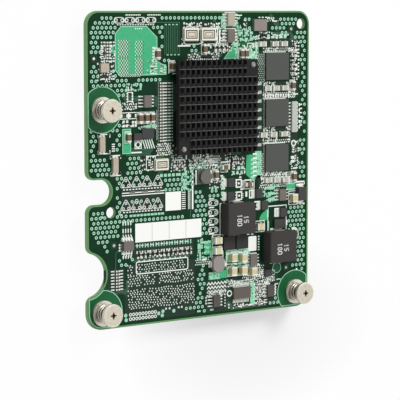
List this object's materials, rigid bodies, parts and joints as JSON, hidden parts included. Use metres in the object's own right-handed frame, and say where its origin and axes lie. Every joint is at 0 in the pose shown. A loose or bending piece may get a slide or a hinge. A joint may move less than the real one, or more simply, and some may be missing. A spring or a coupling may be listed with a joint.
{
  "type": "mezzanine network card",
  "caption": "Mezzanine network card: green board with edge cut-outs, captive spring screws, finned heat sink, inductors and chips, connector beneath.",
  "frame": {"origin": "centre of the board on X and Y, at the open mouth of the connector under it", "axes": "+Z out of the component side, +Y along the long side towards the end with the heat sink, +X to the right seen from the component side"},
  "size_m": [0.1016, 0.1142, 0.0146],
  "materials": {
    "black_anodised": "black anodised",
    "black_plastic": "matt black moulding",
    "ceramic_beige": "beige ceramic",
    "ceramic_brown": "brown ceramic",
    "ceramic_dark": "dark ceramic",
    "ceramic_grey": "grey ceramic",
    "ceramic_tan": "tan ceramic",
    "epoxy": "matt grey-black epoxy",
    "ferrite_grey": "grey ferrite",
    "gold": "gold flash",
    "lid": "plain metal",
    "nickel": "satin nickel plate",
    "powder_core": "pressed powder, charcoal",
    "solder": "dull solder",
    "solder_mask": "satin green solder mask over glass fibre",
    "spring_steel": "plain steel",
    "substrate": "dark green laminate",
    "thermal_pad": "grey pad",
    "tin": "matt tin"
  },
  "bodies": {
    "card": {"array_terminals": "tin", "board": "solder_mask", "brown_chip_bodies": "ceramic_brown", "brown_chip_ends": "tin", "ceramic_block": "ceramic_beige", "chip_balls": "solder", "chip_lid": "lid", "chip_substrate": "substrate", "choke_clips": "tin", "connector_contacts": "gold", "connector_housing": "black_plastic", "diode_body": "epoxy", "diode_leads": "tin", "drum_choke": "powder_core", "ferrules": "nickel", "filter_array": "ceramic_grey", "filter_terminals": "tin", "grey_chip_bodies": "ceramic_grey", "grey_chip_ends": "tin", "heat_sink": "black_anodised", "inductor_cores": "powder_core", "inductor_straps": "tin", "large_chip_bodies": "ceramic_tan", "large_chip_ends": "tin", "large_leadless_body": "epoxy", "leadless_bodies": "epoxy", "line_filters": "ceramic_beige", "memory_balls": "solder", "memory_chips": "epoxy", "octagon_choke": "ferrite_grey", "oscillator_bases": "ceramic_dark", "oscillator_lids": "lid", "outline_bodies": "epoxy", "outline_leads": "tin", "power_transistors": "epoxy", "push_pins": "nickel", "rear_chips": "ceramic_brown", "small_transistors": "epoxy", "spring_ll": "spring_steel", "spring_lr": "spring_steel", "spring_ul": "spring_steel", "thermal_pad": "thermal_pad", "tiny_chips": "ceramic_dark", "transistor_tabs": "tin", "wide_body": "epoxy", "wide_leads": "tin"},
    "ring_ul_body": {"ring_ul": "spring_steel"},
    "screw_ul_body": {"screw_ul": "nickel"},
    "ring_ll_body": {"ring_ll": "spring_steel"},
    "screw_ll_body": {"screw_ll": "nickel"},
    "ring_lr_body": {"ring_lr": "spring_steel"},
    "screw_lr_body": {"screw_lr": "nickel"}
  },
  "joints": [
    {"name": "plunge_ul", "type": "slide", "parent": "card", "child": "ring_ul_body", "axis": [0, 0, 1], "range_m": [-0.0016, 0], "stiffness_N_per_m": 800, "springref_m": 0.0025, "deforming": ["spring_ul"]},
    {"name": "turn_ul", "type": "hinge", "parent": "ring_ul_body", "child": "screw_ul_body", "pos_m": [-0.0443, 0.022, 0.0049], "axis": [0, 0, 1], "continuous": true},
    {"name": "plunge_ll", "type": "slide", "parent": "card", "child": "ring_ll_body", "axis": [0, 0, 1], "range_m": [-0.0016, 0], "stiffness_N_per_m": 800, "springref_m": 0.0025, "deforming": ["spring_ll"]},
    {"name": "turn_ll", "type": "hinge", "parent": "ring_ll_body", "child": "screw_ll_body", "pos_m": [-0.0443, -0.0512, 0.0049], "axis": [0, 0, 1], "continuous": true},
    {"name": "plunge_lr", "type": "slide", "parent": "card", "child": "ring_lr_body", "axis": [0, 0, 1], "range_m": [-0.0016, 0], "stiffness_N_per_m": 800, "springref_m": 0.0025, "deforming": ["spring_lr"]},
    {"name": "turn_lr", "type": "hinge", "parent": "ring_lr_body", "child": "screw_lr_body", "pos_m": [0.0443, -0.0512, 0.0049], "axis": [0, 0, 1], "continuous": true}
  ]
}
